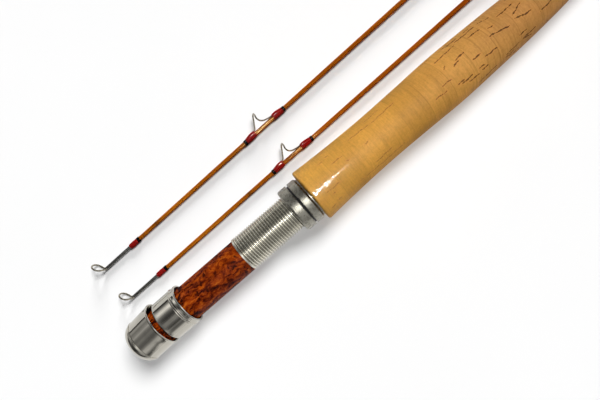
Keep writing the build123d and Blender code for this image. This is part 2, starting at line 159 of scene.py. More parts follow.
world = bpy.data.worlds.new("studio")
bpy.context.scene.world = world
world.use_nodes = True
tree = world.node_tree
tree.nodes.clear()
way = add_node(tree, "ShaderNodeSeparateXYZ", (add_node(tree, "ShaderNodeTexCoord").outputs["Generated"],))
lean = arithmetic(tree, "ARCTAN2", way.outputs[1], way.outputs[2])
share = arithmetic(tree, "MULTIPLY_ADD", lean, 1 / (2 * math.pi), 0.5)


def cards(stops):
    """White and dark cards round the table: (degrees from overhead towards +Y, brightness)."""
    return ramp(tree, share, [(0.5 + degrees / 360.0, grey / 4.0) for degrees, grey in stops])


cap_cards = cards(((-92, 0.60), (-84, 0.32), (-79, 0.07), (-72, 0.06), (-64, 0.36), (-52, 0.74), (-38, 0.66), (-30, 0.32),
                   (-19, 0.16), (-8, 0.18), (0, 0.27), (8, 0.30), (15, 0.24), (24, 0.27), (32, 0.40),
                   (39, 0.66), (47, 0.46), (62, 0.34), (72, 0.58), (80, 0.54), (85, 0.06), (92, 0.04)))
hood_cards = cards(((-90, 0.97), (-82, 0.94), (-74, 0.80), (-66, 0.26), (-55, 0.16), (-46, 0.28), (-38, 0.08),
                    (-28, 0.18), (-18, 0.38), (-6, 0.38), (2, 0.14), (12, 0.07), (22, 0.11), (34, 0.28),
                    (42, 0.75), (52, 1.40), (61, 1.10), (70, 0.45), (80, 0.12), (90, 0.05)))
barrel_cards = cards(((-95, 0.68), (-80, 0.52), (-60, 0.48), (-45, 0.60), (-30, 0.80), (-17, 1.05), (-9, 1.35),
                      (-1, 1.80), (6, 1.00), (15, 0.40), (26, 0.12), (36, 0.07), (50, 0.15), (66, 0.20),
                      (78, 0.34), (92, 0.60)))
nut_cards = cards(((-95, 0.82), (-42, 0.82), (-33, 0.90), (-26, 1.12), (-19, 1.45), (-10, 1.68), (2, 1.68),
                   (10, 1.68), (18, 1.55), (25, 1.30), (32, 1.10), (46, 0.88), (95, 0.82)))
away = arithmetic(tree, "ADD", way.outputs[0], 1.0)
room = blend_colour(tree, ramp(tree, away, ((0.594, 0.0), (0.598, 1.0))), cap_cards, hood_cards)
room = blend_colour(tree, ramp(tree, away, ((0.690, 0.0), (0.780, 1.0))), room, barrel_cards)
by_nuts = ramp(tree, arithmetic(tree, "ABSOLUTE", way.outputs[0]), ((0.025, 1.0), (0.045, 0.0)))
room = blend_colour(tree, by_nuts, room, nut_cards)
ends = ramp(tree, arithmetic(tree, "ABSOLUTE", way.outputs[0]), ((0.48, 1.0), (0.80, 0.25)))
room = blend_colour(tree, 1.0, room, ends, "MULTIPLY")
backdrop = add_node(tree, "ShaderNodeBackground", (room, 4.0))
tree.links.new(backdrop.outputs[0], add_node(tree, "ShaderNodeOutputWorld").inputs[0])


world.cycles_visibility.diffuse = False
world.cycles.sampling_method = "NONE"


def far_light(name, strength, spread, towards):
    """A soft light so far off that it is even over the table; towards points at it."""
    bpy.ops.object.light_add(type="SUN", location=Vector(towards).normalized() * 2.0)
    made = bpy.context.object
    made.name = name
    made.data.energy = strength
    made.data.angle = math.radians(spread)
    made.rotation_euler = Vector(towards).to_track_quat("Z", "Y").to_euler()
    made.visible_glossy = False
    return made


KEY_WAY = (0.70, 0.37, 1.0)
SKIM_WAY = (2.37, 2.70, 1.0)
FILL_WAY = (-0.10, -0.22, 1.0)
far_light("key_light", 3.08, 22.0, KEY_WAY)
fill = far_light("fill_light", 0.90, 60.0, FILL_WAY)
skim = far_light("skimming_light", 4.95, 20.0, SKIM_WAY)
tip_pieces = bpy.data.collections.new("tip_pieces")
butt_pieces = bpy.data.collections.new("butt_pieces")
table_only = bpy.data.collections.new("table_only")
table_only.objects.link(table)
fill.light_linking.receiver_collection = butt_pieces
skim.light_linking.receiver_collection = table_only
skim.light_linking.blocker_collection = tip_pieces
for name, node in frame["nodes"].items():
    (tip_pieces if name.endswith(("_a", "_b")) else butt_pieces).objects.link(node)


def small_lamp(name, power, width):
    """A small lamp beside the lens that only gives highlights, and the collection of pieces it reaches."""
    bpy.ops.object.light_add(type="AREA", location=(0.133, -0.022, 0.40))
    lamp = bpy.context.object
    lamp.name = name
    lamp.data.energy = power
    lamp.data.shape = "RECTANGLE"
    lamp.data.size, lamp.data.size_y = width, 0.09
    lamp.rotation_euler = (Vector(lamp.location) - Vector((0.11, 0.0, 0.0))).to_track_quat("Z", "Y").to_euler()
    lamp.visible_diffuse = False
    reached = bpy.data.collections.new(name + "_pieces")
    lamp.light_linking.receiver_collection = reached
    return reached


varnished_pieces = small_lamp("varnish_lamp", 14.0, 0.04)
metal_pieces = small_lamp("metal_lamp", 0.40, 0.05)
for name, node in frame["nodes"].items():
    if "cane" in name:
        varnished_pieces.objects.link(node)
    elif "ferrule" in name or name == "winding_check":
        metal_pieces.objects.link(node)

bpy.ops.object.camera_add(location=(98.4 * MM, 1.85 * MM, 195.1 * MM), rotation=(0, 0, math.radians(-40.9)))
camera = bpy.context.object
camera.data.lens = 26.0
camera.data.clip_start = 0.005
bpy.context.scene.camera = camera
bpy.context.scene.view_settings.view_transform = "Standard"

# ---- Butt cap -----------------------------------------------------------------------------------
# Spun and polished nickel silver.  The end is domed to a flat disc, a fine bead is turned where the
# dome meets the wall, and the mouth stands a little proud on the side where the reel foot goes in.

mounts = {mount["name"]: mount for mount in frame["record"]["mounts"]}
butt_axis = Vector(mounts["female_ferrule"]["axis"])
BUTT_ROLL = math.radians(-4.0)
butt_place = Matrix.Rotation(math.asin(-butt_axis.z), 4, "Y") @ Matrix.Rotation(BUTT_ROLL, 4, "X")


def outline(name, stations):
    """Draws a turned piece's outline as a chain of edges; stations are (along, radius) in mm."""
    bpy.ops.object.select_all(action="DESELECT")
    bpy.ops.mesh.primitive_plane_add(size=0.001, location=(stations[0][0] * MM, 0, stations[0][1] * MM))
    drawn = bpy.context.object
    drawn.name = name
    drawn.data.name = name
    bpy.ops.object.transform_apply(location=True, rotation=True, scale=True)
    bpy.ops.object.mode_set(mode="EDIT")
    bpy.ops.mesh.select_all(action="SELECT")
    bpy.ops.mesh.merge(type="CENTER")
    for (xa, ra), (xb, rb) in zip(stations, stations[1:]):
        step = ((xb - xa) * MM, 0, (rb - ra) * MM)
        bpy.ops.mesh.extrude_vertices_move(TRANSFORM_OT_translate={"value": step})
    return drawn


def turned(name, stations, sides=96, crease=35.0, closed=False):
    """Spins an outline round the rod's axis; a closed outline returns to its first station."""
    made = outline(name, list(stations) + ([stations[0]] if closed else []))
    bpy.ops.mesh.select_all(action="SELECT")
    bpy.ops.mesh.spin(steps=sides, angle=2 * math.pi, center=(0, 0, 0), axis=(1, 0, 0))
    bpy.ops.mesh.select_all(action="SELECT")
    bpy.ops.mesh.remove_doubles(threshold=0.000002)
    bpy.ops.mesh.normals_make_consistent(inside=False)
    bpy.ops.object.mode_set(mode="OBJECT")
    bpy.ops.object.shade_smooth_by_angle(angle=math.radians(crease))
    return made


def fit(piece, place, body, replaced, slot, material):
    """Lays a piece modelled along +X in its place, gives it its material, hides the parts it replaces and hangs it on
    its body.
    """
    piece.data.transform(place)
    piece.data.materials.clear()
    piece.data.materials.append(material)
    if replaced:
        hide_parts(*replaced)
    (tip_pieces if body.startswith("tip") else butt_pieces).objects.link(piece)
    if slot in ("cork", "red_silk", "black_silk"):
        varnished_pieces.objects.link(piece)
    elif piece.name in ("threaded_tube", "nut_lower", "nut_upper"):
        metal_pieces.objects.link(piece)
    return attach(piece, body)


def arc(x, r, size, start, end, steps):
    """Stations on a quarter turn or less round (x, r), in degrees from +X towards outwards."""
    turns = [math.radians(start + (end - start) * k / steps) for k in range(steps + 1)]
    return [(x + size * math.cos(t), r + size * math.sin(t)) for t in turns]


cap = turned("cap_shell", [
    (0.0, 0.0), (0.0, 2.0), (0.0, 4.4), *arc(4.35, 5.6, 4.35, 176, 97, 12),
    (3.95, 9.86), (4.02, 10.05), (4.15, 10.2), (4.4, 10.23), (4.62, 10.14), (4.68, 9.98), (4.82, 9.98), (4.9, 10.07),
    (5.05, 10.076), (7.0, 10.13), (9.5, 10.21), (12.0, 10.29), (14.45, 10.366), (14.6, 10.38), (14.8, 10.47), (15.1, 10.53),
    (15.38, 10.47), (15.5, 10.3), (15.46, 9.95), (15.2, 9.72), (12.0, 9.3), (8.0, 8.75), (6.0, 8.52), (3.2, 8.52),
    (3.0, 8.3), (3.0, 0.0)], sides=128)
for vertex in cap.data.vertices:
    if vertex.co.x > 4.75 * MM:
        vertex.co.y += 0.7 * MM * (vertex.co.x / MM - 4.75) / 10.75


def turning_marks_group():
    """Fine rings left by the lathe and the buffing wheel, as a height and a dulling mask."""
    group = bpy.data.node_groups.new("turning_marks", "ShaderNodeTree")
    for name, kind in (("Place", "NodeSocketVector"), ("Pitch", "NodeSocketFloat")):
        group.interface.new_socket(name, in_out="INPUT", socket_type=kind)
    for name in ("Height", "Dulling"):
        group.interface.new_socket(name, in_out="OUTPUT", socket_type="NodeSocketFloat")
    start, end = group.nodes.new("NodeGroupInput"), group.nodes.new("NodeGroupOutput")
    split = add_node(group, "ShaderNodeSeparateXYZ", (start.outputs["Place"],))
    reach = add_node(group, "ShaderNodeVectorMath", (start.outputs["Place"],), operation="LENGTH")
    squeezed = add_node(group, "ShaderNodeCombineXYZ", (
        arithmetic(group, "MULTIPLY", split.outputs[0], start.outputs["Pitch"]),
        arithmetic(group, "MULTIPLY", split.outputs[1], 40.0),
        arithmetic(group, "MULTIPLY", split.outputs[2], 40.0)))
    rings = add_node(group, "ShaderNodeTexNoise", (squeezed.outputs[0], None, 1.0, 2.0)).outputs[0]
    haze = add_node(group, "ShaderNodeTexNoise", (start.outputs["Place"], None, 260.0, 4.0)).outputs[0]
    group.links.new(rings, end.inputs["Height"])
    dulled = arithmetic(group, "MULTIPLY", haze, arithmetic(group, "MULTIPLY_ADD", reach.outputs[1], 0.2, 1.0))
    group.links.new(arithmetic(group, "MULTIPLY_ADD", rings, 0.4, dulled, clamp=True), end.inputs["Dulling"])
    return group


turning_marks = turning_marks_group()


def nickel_silver(name, roughness, tint=(0.50, 0.475, 0.415), pitch=9000.0, marks=0.012, haze=0.10, root=None):
    """Nickel silver; roughness is its least value, haze what smears and rings add, root the radius
     in mm at a thread's roots, which are painted darker as shade while its crests are painted lighter."""
    made, tree = new_material(name)
    place = add_node(tree, "ShaderNodeTexCoord").outputs["Object"]
    lathe = add_node(tree, "ShaderNodeGroup", node_tree=turning_marks)
    tree.links.new(place, lathe.inputs["Place"])
    lathe.inputs["Pitch"].default_value = pitch
    cloud = add_node(tree, "ShaderNodeTexNoise", (place, None, 120.0, 3.0)).outputs[0]
    dark = tuple(0.82 * part for part in tint)
    colour = ramp(tree, cloud, ((0.3, dark), (0.62, tint)))
    bump = add_node(tree, "ShaderNodeBump", (marks, 0.0001))
    tree.links.new(lathe.outputs["Height"], bump.inputs["Height"])
    rough = arithmetic(tree, "MULTIPLY_ADD", lathe.outputs["Dulling"], haze, roughness)
    # Painted shade and painted light: a thread's roots are coloured darker and its crests lighter, by their distance
    # from the rod's axis.
    if root:
        laid_back = add_node(tree, "ShaderNodeMapping", (place,), vector_type="TEXTURE")
        laid_back.inputs["Rotation"].default_value = butt_place.to_euler()
        own = add_node(tree, "ShaderNodeVectorMath", (laid_back.outputs[0], (0.0, 1.0, 1.0)), operation="MULTIPLY")
        reach = add_node(tree, "ShaderNodeVectorMath", (own.outputs[0],), operation="LENGTH").outputs[1]
        above = arithmetic(tree, "MULTIPLY_ADD", reach, 1000.0, -root, clamp=True)
        colour = blend_colour(tree, 1.0, colour, ramp(tree, above, ((0.0, 0.75), (0.30, 1.10), (0.50, 1.30))),
                              "MULTIPLY")
    glossy_finish(tree, colour, bump.outputs[0], Metallic=1.0, Roughness=rough)
    return made


polished = nickel_silver("polished_nickel_silver", 0.03, haze=0.06)
fit(cap, butt_place, "butt_section", ["butt_cap"], "nickel_silver", polished)

# ---- Sliding hood ---------------------------------------------------------------------------------
# A loose nickel silver band that slides over the wood and holds the reel foot.  It has a turned
# bead near its mouth and a rolled rim.

hood = turned("hood_band", [
    (17.4, 9.35), (17.42, 9.5), (17.6, 9.68), (17.85, 9.74), (18.05, 9.745), (22.0, 9.76), (26.4, 9.78), (26.6, 9.775),
    (26.75, 9.72), (26.9, 9.86),
    (27.1, 9.98), (27.35, 10.0), (27.6, 9.96), (27.78, 9.82), (27.9, 9.7), (28.05, 9.69), (29.05, 9.69), (29.2, 9.7), (29.3, 9.78), (29.5, 9.86),
    (29.8, 9.86), (30.02, 9.78), (30.1, 9.6), (30.1, 9.1), (30.0, 9.0), (18.9, 9.0), (17.4, 9.3)], sides=128, closed=True)
fit(hood, butt_place, "sliding_hood", ["sliding_hood"], "nickel_silver", polished)

# ---- Reel seat filler --------------------------------------------------------------------------------
# A spacer turned from thuya burl and varnished.  Orange-red wood, dark swirls and clusters of
# small black pips run right through it, so the pattern is solid.

burl, tree = new_material("varnished_burl")
place = add_node(tree, "ShaderNodeTexCoord").outputs["Object"]
drift = add_node(tree, "ShaderNodeTexNoise", (place, None, 150.0, 3.0)).outputs["Color"]
bent = add_node(tree, "ShaderNodeVectorMath", (place, None, None), operation="MULTIPLY_ADD")
tree.links.new(drift, bent.inputs[0])
bent.inputs[1].default_value = (0.008, 0.008, 0.008)
tree.links.new(place, bent.inputs[2])
swirl = add_node(tree, "ShaderNodeMapping", (bent.outputs[0], None, (0.0, 0.3, 0.5), (0.8, 2.4, 2.0)))
figure = add_node(tree, "ShaderNodeTexNoise", (swirl.outputs[0], None, 230.0, 6.0, 0.66)).outputs[0]
wood = ramp(tree, figure, (
    (0.34, (0.012, 0.0016, 0.0004)), (0.44, (0.075, 0.0080, 0.0008)), (0.52, (0.215, 0.0270, 0.0014)),
    (0.60, (0.340, 0.0560, 0.0030)), (0.74, (0.560, 0.1400, 0.0120))))
eyes = add_node(tree, "ShaderNodeTexVoronoi", (bent.outputs[0], None, 520.0)).outputs[0]
crowd = add_node(tree, "ShaderNodeTexNoise", (place, None, 110.0, 2.0)).outputs[0]
reach = arithmetic(tree, "MULTIPLY_ADD", crowd, 1.5, -0.46)
pips = ramp(tree, arithmetic(tree, "SUBTRACT", reach, eyes), ((0.0, 0.0), (0.14, 0.9)))
wood = blend_colour(tree, pips, wood, (0.016, 0.003, 0.001, 1))
ripple = add_node(tree, "ShaderNodeTexNoise", (place, None, 420.0, 2.0)).outputs[0]
bump = add_node(tree, "ShaderNodeBump", (0.05, 0.0003))
tree.links.new(ripple, bump.inputs["Height"])
glossy_finish(tree, wood, bump.outputs[0], Roughness=0.55, Specular_IOR_Level=0.0,
              Coat_Weight=0.24, Coat_Roughness=0.10, Coat_IOR=1.35)
frame["nodes"]["reel_seat_filler"].data.materials[0] = burl

# ---- Threaded barrel -----------------------------------------------------------------------------------
# A nickel silver tube with a rolled thread of twenty turns to the inch.  A plain ring shows at the
# wood, and the rest of the tube is thread as far as the grip.

PITCH = 1.27
THREAD_START, THREAD_END, CREST, ROOT = 64.2, 103.15, 8.65, 8.05
outline("barrel_thread", [
    (THREAD_START - PITCH, ROOT), (THREAD_START - 0.92 * PITCH, ROOT + 0.02),
    (THREAD_START - 0.64 * PITCH, CREST - 0.10), (THREAD_START - 0.57 * PITCH, CREST - 0.01),
    (THREAD_START - 0.50 * PITCH, CREST), (THREAD_START - 0.43 * PITCH, CREST - 0.01),
    (THREAD_START - 0.36 * PITCH, CREST - 0.10), (THREAD_START - 0.08 * PITCH, ROOT + 0.02), (THREAD_START, ROOT)])
thread = bpy.context.object
bpy.ops.object.mode_set(mode="OBJECT")
screw = thread.modifiers.new("turns", "SCREW")
screw.axis = "X"
screw.steps = screw.render_steps = 72
screw.screw_offset = PITCH * MM
screw.iterations = 32
screw.use_merge_vertices = True
bpy.ops.object.modifier_apply(modifier="turns")
bpy.ops.object.mode_set(mode="EDIT")
bpy.ops.mesh.select_all(action="SELECT")
bpy.ops.mesh.remove_doubles(threshold=0.00001)
for cut, low in ((THREAD_START, True), (THREAD_END, False)):
    bpy.ops.mesh.select_all(action="SELECT")
    bpy.ops.mesh.bisect(plane_co=(cut * MM, 0, 0), plane_no=(1, 0, 0), clear_inner=low, clear_outer=not low)
bpy.ops.mesh.select_all(action="SELECT")
bpy.ops.mesh.normals_make_consistent(inside=False)
bpy.ops.object.mode_set(mode="OBJECT")
bpy.ops.object.shade_smooth_by_angle(angle=math.radians(30))
ring = turned("barrel_ring", [
    (63.1, 7.6), (63.1, 8.4), (63.25, 8.55), (63.9, 8.55), (64.15, 8.35), (64.3, 8.1), (64.3, 7.6)], closed=True)
sleeve = turned("barrel_sleeve", [(63.3, 7.52), (63.3, 7.9), (103.1, 7.9), (103.1, 7.52)], closed=True)
bpy.ops.object.select_all(action="DESELECT")
for part in (thread, ring, sleeve):
    part.select_set(True)
bpy.context.view_layer.objects.active = thread
bpy.ops.object.join()
thread.name = "threaded_tube"
satin = nickel_silver("satin_nickel_silver", 0.16, tint=(0.56, 0.54, 0.465), marks=0.02, haze=0.10, root=8.1)
fit(thread, butt_place, "butt_section", ["threaded_barrel"], "nickel_silver", satin)

# ---- Lock nuts ---------------------------------------------------------------------------------------------
# Two rings with rounded rims, tapped to the barrel's thread and finely knurled all over.  The upper
# one carries a plain bright lip against the grip, and a thin black ring parts the two, coloured near
# black as painted shade for the deep gap between them.

knurled, tree = new_material("knurled_nickel_silver")
place = add_node(tree, "ShaderNodeTexCoord").outputs["Object"]
split = add_node(tree, "ShaderNodeSeparateXYZ", (place,))
turn = arithmetic(tree, "ARCTAN2", split.outputs[1], split.outputs[2])
around = arithmetic(tree, "MULTIPLY", turn, 0.0111)
teeth = []
for lean in (1.0, -1.0):
    slant = arithmetic(tree, "MULTIPLY_ADD", around, lean, split.outputs[0])
    wave = arithmetic(tree, "SINE", arithmetic(tree, "MULTIPLY", slant, 2 * math.pi / 0.00055))
    teeth.append(wave)
diamond = arithmetic(tree, "MAXIMUM", *teeth)
worn = add_node(tree, "ShaderNodeTexNoise", (place, None, 700.0, 4.0)).outputs[0]
height = arithmetic(tree, "MULTIPLY", diamond, worn)
bump = add_node(tree, "ShaderNodeBump", (0.16, 0.00012))
tree.links.new(height, bump.inputs["Height"])
colour = ramp(tree, worn, ((0.3, (0.21, 0.20, 0.165)), (0.7, (0.35, 0.335, 0.285))))
rough = arithmetic(tree, "MULTIPLY_ADD", worn, 0.16, 0.20)
glossy_finish(tree, colour, bump.outputs[0], Metallic=1.0, Roughness=rough)


def rounded_nut(name, low, high, low_rim, high_rim, lip):
    """Outline of a nut with rounded rims and, on its far side, a plain lip."""
    band_end = high - lip
    stations = [(low, 8.72), (low, 10.0), *arc(low + low_rim, 11.1 - low_rim, low_rim, 180, 90, 6),
                *arc(band_end - high_rim, 11.1 - high_rim, high_rim, 90, 0, 6)]
    if lip:
        stations += [(band_end, 9.95), (band_end + 0.05, 10.2), (high - 0.06, 10.2), (high, 10.1)]
    return turned(name, stations + [(high, 8.72)], sides=128, closed=True)


lower_nut = rounded_nut("nut_lower", 92.3, 97.25, 1.2, 0.35, 0.0)
upper_nut = rounded_nut("nut_upper", 98.1, 102.9, 0.35, 1.2, 0.5)
fit(lower_nut, butt_place, "lock_nut_lower", ["lock_nut_lower"], "nickel_silver", knurled)
fit(upper_nut, butt_place, "lock_nut_upper", ["lock_nut_upper"], "nickel_silver", knurled)

# The ring between the nuts: black fibre, made near black so that it also stands for the shade deep in the gap.
black_ring_and_gap_shade, tree = new_material("black_ring_and_gap_shade")
place = add_node(tree, "ShaderNodeTexCoord").outputs["Object"]
flecks = add_node(tree, "ShaderNodeTexNoise", (place, None, 900.0, 3.0)).outputs[0]
glossy_finish(tree, ramp(tree, flecks, ((0.3, 0.004), (0.7, 0.012))), Roughness=0.5)
frame["nodes"]["nut_ring"].data.materials[0] = black_ring_and_gap_shade

# ---- Cork grip ------------------------------------------------------------------------------------------------
# Fourteen rings of specie cork glued on the blank and turned to a cigar shape with a swell for the
# palm.  Fine sanding leaves hairline seams, and dark pits run along the grain.

import numpy as np

HEEL, GRIP_LENGTH, RINGS = 103.2, 178.0, 14
GRIP_SHAPE = ((0, 26.7), (20, 24.65), (40, 23.8), (60, 24.35), (81, 25.15), (103, 24.0), (121, 22.7),
              (139, 20.4), (160, 16.8), (178, 13.6))


def grip_radius(along):
    """Radius of the grip at a distance from its heel, on a smooth curve through its stations."""
    places = [place for place, _ in GRIP_SHAPE]
    sizes = [size / 2 for _, size in GRIP_SHAPE]
    k = max(0, min(len(places) - 2, sum(place <= along for place in places) - 1))
    span = places[k + 1] - places[k]

    def slope(i):
        if i == 0:
            return (sizes[1] - sizes[0]) / (places[1] - places[0]) * 1.25
        if i == len(places) - 1:
            return (sizes[-1] - sizes[-2]) / (places[-1] - places[-2])
        return (sizes[i + 1] - sizes[i - 1]) / (places[i + 1] - places[i - 1])

    t = (along - places[k]) / span
    return (sizes[k] * (1 + 2 * t) * (1 - t) ** 2 + sizes[k + 1] * t * t * (3 - 2 * t)
            + slope(k) * span * t * (1 - t) ** 2 - slope(k + 1) * span * t * t * (1 - t))


ring_width = GRIP_LENGTH / RINGS
stations = [(HEEL, 4.8), (HEEL, grip_radius(0) - 0.75), (HEEL + 0.22, grip_radius(0) - 0.24)]
for ring in range(RINGS):
    for share in (0.012, 0.06, 0.17, 0.28, 0.39, 0.5, 0.61, 0.72, 0.83, 0.94, 0.988):
        along = (ring + share) * ring_width
        if 0.7 < along < GRIP_LENGTH - 0.3:
            stations.append((HEEL + along, grip_radius(along)))
    if ring < RINGS - 1:
        stations.append((HEEL + (ring + 1) * ring_width, grip_radius((ring + 1) * ring_width) - 0.05))
stations += [(HEEL + GRIP_LENGTH, grip_radius(GRIP_LENGTH) - 0.3), (HEEL + GRIP_LENGTH, 4.8)]
grip = turned("cork_grip", stations, sides=144, crease=50.0, closed=True)
smoother = grip.modifiers.new("finer", "SUBSURF")
smoother.levels = smoother.render_levels = 1
smoother.subdivision_type = "SIMPLE"
bpy.context.view_layer.objects.active = grip
bpy.ops.object.modifier_apply(modifier="finer")

# Each pit runs from one distance along the grip to another, and from one offset across it to
# another, with a half width, all in mm; the same run of pits is turned on for the hidden sides.
PITS = (
    (15.5, 20.6, 4.6, 4.4, 0.10), (20.9, 22.0, 1.3, 1.2, 0.12), (31.6, 33.2, 1.6, 1.8, 0.12),
    (7.8, 8.9, -5.6, -5.4, 0.13), (8.3, 9.4, -8.9, -8.9, 0.12), (5.8, 13.4, -3.3, -3.5, 0.08),
    (3.7, 5.8, -9.8, -9.6, 0.12), (20.6, 33.0, -9.0, -9.5, 0.10), (33.0, 45.9, -9.5, -9.2, 0.10),
    (31.1, 39.6, -7.3, -7.0, 0.10), (67.0, 73.0, -3.7, -4.1, 0.13), (72.5, 77.6, -1.2, -1.5, 0.12),
    (77.6, 89.0, 8.4, 8.9, 0.16), (77.8, 79.0, 3.4, 4.6, 0.20), (81.8, 85.2, 2.0, 2.6, 0.16),
    (84.6, 89.0, 3.5, 3.9, 0.22), (78.5, 82.0, -5.1, -5.3, 0.17), (80.5, 86.4, -6.2, -6.0, 0.22),
    (84.0, 89.0, -7.4, -7.7, 0.18), (90.0, 94.5, -1.2, -1.5, 0.20), (90.5, 93.2, -5.8, -6.1, 0.20),
    (91.4, 94.8, -7.2, -7.3, 0.18), (93.7, 101.7, 9.2, 9.5, 0.18), (95.8, 101.7, 7.3, 7.0, 0.20),
    (95.4, 101.7, -3.7, -4.0, 0.20), (102.1, 106.8, 1.7, 0.8, 0.24), (106.4, 111.4, 0.7, -0.4, 0.22),
    (103.8, 109.3, 9.4, 8.1, 0.20), (104.2, 110.2, -10.0, -9.9, 0.20), (113.5, 117.8, -6.4, -6.6, 0.22),
    (115.2, 122.8, -8.4, -8.5, 0.22), (115.7, 119.4, 0.2, -0.5, 0.22), (118.8, 123.3, -0.9, -1.4, 0.24),
    (115.7, 122.0, 2.1, 4.1, 0.20), (117.4, 120.2, 6.0, 6.3, 0.20), (104.0, 106.5, 4.6, 4.4, 0.16),
    (125.0, 131.0, 3.2, 3.6, 0.22), (127.0, 134.5, -4.4, -4.0, 0.20), (129.5, 132.0, 0.6, 0.4, 0.24),
    (133.5, 139.0, -0.8, -1.2, 0.22), (137.0, 143.0, 4.0, 3.5, 0.20), (144.0, 149.0, -2.2, -2.0, 0.20),
    (148.0, 156.0, 1.4, 1.9, 0.20), (153.0, 158.5, -4.6, -4.4, 0.20), (160.0, 166.0, 0.2, -0.3, 0.18),
    (166.0, 173.0, 2.8, 2.5, 0.16))
grip_points = np.empty(len(grip.data.vertices) * 3)
grip.data.vertices.foreach_get("co", grip_points)
grip_points = grip_points.reshape(-1, 3) / MM
at = grip_points[:, 0] - HEEL
angle = np.arctan2(grip_points[:, 1], grip_points[:, 2])
reach = np.hypot(grip_points[:, 1], grip_points[:, 2])
nearest = np.full(len(at), 3.0)
for turn, shift in ((-4, 0.0), (84, 7.0), (168, -5.0), (256, 11.0)):
    for start, end, across, across_end, half in PITS:
        size = grip_radius(0.5 * (start + end))
        low, high = math.asin(across / size), math.asin(across_end / size)
        start, end = start + shift, end + shift
        share = np.clip((at - start) / (end - start), 0, 1)
        bent = 0.13 * np.sin(1.3 * at + 3.0 * start) / size
        off = (angle - math.radians(turn) - (low + (high - low) * share) - bent + math.pi) % (2 * math.pi) - math.pi
        past = np.maximum(np.maximum(start - at, at - end), 0)
        wide = half * (0.5 + 1.2 * np.sqrt(np.clip(share * (1 - share), 0, 1))) * (1.0 + 0.4 * np.sin(2.3 * at + start))
        nearest = np.minimum(nearest, np.hypot(off * reach, 0.6 * past) - wide)
grip.data.attributes.new("pit", "FLOAT", "POINT").data.foreach_set("value", np.clip(nearest, -0.5, 3.0))

cork, tree = new_material("specie_cork")
place = add_node(tree, "ShaderNodeTexCoord").outputs["Object"]
laid_back = add_node(tree, "ShaderNodeMapping", (place,), vector_type="TEXTURE")
laid_back.inputs["Rotation"].default_value = butt_place.to_euler()
own = add_node(tree, "ShaderNodeSeparateXYZ", (laid_back.outputs[0],))
along = arithmetic(tree, "MULTIPLY_ADD", own.outputs[0], 1000.0, -HEEL)
turn = arithmetic(tree, "ARCTAN2", own.outputs[1], own.outputs[2])
ring_count = arithmetic(tree, "MULTIPLY", along, 1 / ring_width)
ring_number = arithmetic(tree, "FLOOR", ring_count)
per_ring = add_node(tree, "ShaderNodeTexWhiteNoise", noise_dimensions="1D")
tree.links.new(ring_number, per_ring.inputs["W"])
shifted = add_node(tree, "ShaderNodeVectorMath", (laid_back.outputs[0], None, None), operation="MULTIPLY_ADD")
tree.links.new(per_ring.outputs["Color"], shifted.inputs[0])
shifted.inputs[1].default_value = (0.3, 0.3, 0.3)
tree.links.new(laid_back.outputs[0], shifted.inputs[2])
soft = add_node(tree, "ShaderNodeTexNoise", (shifted.outputs[0], None, 90.0, 3.0)).outputs[0]
grains = add_node(tree, "ShaderNodeTexNoise", (shifted.outputs[0], None, 900.0, 4.0, 0.7)).outputs[0]
growth = add_node(tree, "ShaderNodeMapping", (shifted.outputs[0], None, None, (1.0, 0.10, 0.10)))
lines = add_node(tree, "ShaderNodeTexNoise", (growth.outputs[0], None, 1500.0, 2.0)).outputs[0]
fade = ramp(tree, arithmetic(tree, "MULTIPLY", along, 1 / GRIP_LENGTH), (
    (0.0, (0.760, 0.385, 0.068)), (0.30, (0.720, 0.350, 0.062)), (0.50, (0.660, 0.320, 0.074)),
    (0.66, (0.570, 0.268, 0.072)), (1.0, (0.430, 0.200, 0.062))))
tone = ramp(tree, soft, ((0.3, 0.84), (0.7, 1.0)))
colour = blend_colour(tree, 1.0, fade, tone, "MULTIPLY")
speck = ramp(tree, grains, ((0.35, 0.74), (0.58, 1.0)))
colour = blend_colour(tree, 0.55, colour, speck, "MULTIPLY")
stripe = ramp(tree, lines, ((0.36, 0.72), (0.56, 1.0)))
colour = blend_colour(tree, 0.35, colour, stripe, "MULTIPLY")
own_tone = arithmetic(tree, "MULTIPLY_ADD", per_ring.outputs["Value"], 0.14, 0.86)
colour = blend_colour(tree, 1.0, colour, own_tone, "MULTIPLY")
beside = arithmetic(tree, "ABSOLUTE", arithmetic(tree, "SUBTRACT", arithmetic(tree, "FRACT", arithmetic(
    tree, "ADD", ring_count, 0.5)), 0.5))
seam = ramp(tree, beside, ((0.004, 0.66), (0.014, 1.0)))
farther = ramp(tree, arithmetic(tree, "MULTIPLY", along, 1 / GRIP_LENGTH), ((0.25, 0.0), (0.50, 1.0)))
colour = blend_colour(tree, arithmetic(tree, "MULTIPLY_ADD", farther, 0.45, 0.30), colour, seam, "MULTIPLY")
rims = add_node(tree, "ShaderNodeMapping", (laid_back.outputs[0], None, None, (1.0, 0.04, 0.04)))
rim_lines = add_node(tree, "ShaderNodeTexNoise", (rims.outputs[0], None, 700.0, 3.0, 0.6)).outputs[0]
banded = ramp(tree, rim_lines, ((0.36, 0.62), (0.48, 1.0)))
colour = blend_colour(tree, arithmetic(tree, "MULTIPLY_ADD", farther, 0.30, 0.12), colour, banded, "MULTIPLY")
ragged = add_node(tree, "ShaderNodeTexNoise", (laid_back.outputs[0], None, 1900.0, 3.0, 0.6)).outputs[0]
pit = add_node(tree, "ShaderNodeAttribute", attribute_name="pit").outputs["Fac"]
depth = arithmetic(tree, "MULTIPLY_ADD", ragged, 1.15, arithmetic(tree, "SUBTRACT", pit, 0.575))
hollow = ramp(tree, depth, ((0.0, 1.0), (0.16, 0.0)))
around_pit = ramp(tree, depth, ((0.08, 0.75), (0.5, 0.0)))
colour = blend_colour(tree, around_pit, colour, (0.60, 0.27, 0.060, 1))
